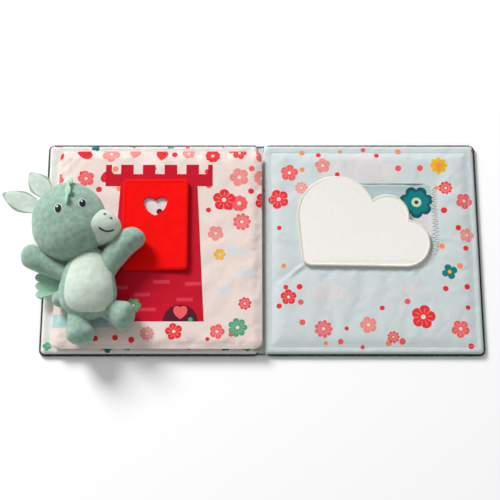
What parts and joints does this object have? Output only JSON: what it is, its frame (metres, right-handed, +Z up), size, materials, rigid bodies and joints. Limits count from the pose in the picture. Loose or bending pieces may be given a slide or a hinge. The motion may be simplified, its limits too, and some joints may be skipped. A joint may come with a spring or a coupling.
{
  "type": "cloth activity book",
  "caption": "Padded cloth activity book lying open, with a felt door flap, a felt cloud flap over a window and a small plush dragon lying on its leaf.",
  "frame": {"origin": "on the table, under the middle of the spine cloth", "axes": "+X across the open book from the spine to the free edge of the back cover, +Y to the top of the pages, +Z up"},
  "size_m": [0.4731, 0.22, 0.0642],
  "materials": {
    "cover_cloth": "printed cotton, off-white ground",
    "page_cloth": "printed cotton, pale blue ground",
    "leaf_cloth": "printed cotton, pale pink ground",
    "window_cloth": "printed cotton, pale blue ground",
    "edging_thread": "overlocked polyester thread",
    "red_felt": "dense felt",
    "white_felt": "soft felt",
    "cream_thread": "overlocked cream thread",
    "plush_pile": "short velour pile",
    "plush_pale": "short velour pile",
    "mint_felt": "dense felt",
    "eye_thread": "satin-stitched thread"
  },
  "bodies": {
    "front_side": {"front_cover": "cover_cloth", "front_cover_edging": "edging_thread", "spine_cloth": "page_cloth", "leaf": "leaf_cloth", "door_flap": "red_felt", "plush_head": "plush_pile", "plush_muzzle": "plush_pale", "plush_ear_left": "plush_pile", "plush_ear_right": "plush_pile", "plush_crest": "mint_felt", "plush_eye_left": "eye_thread", "plush_eye_right": "eye_thread", "plush_body": "plush_pile", "plush_belly": "plush_pale", "plush_arm_left": "plush_pile", "plush_arm_right": "plush_pile", "plush_leg_left": "plush_pile", "plush_leg_right": "plush_pile", "plush_wing_left": "mint_felt", "plush_wing_right": "mint_felt", "plush_tail": "plush_pile"},
    "back_side": {"back_cover": "page_cloth", "back_cover_edging": "edging_thread", "window_backing": "window_cloth", "cloud_flap": "white_felt", "cloud_edging": "cream_thread"}
  },
  "joints": [
    {"name": "back_cover_fold", "type": "hinge", "parent": "front_side", "child": "back_side", "pos_m": [0.002, 0, 0.011], "axis": [0, -1, 0], "range_deg": [0, 150]}
  ]
}
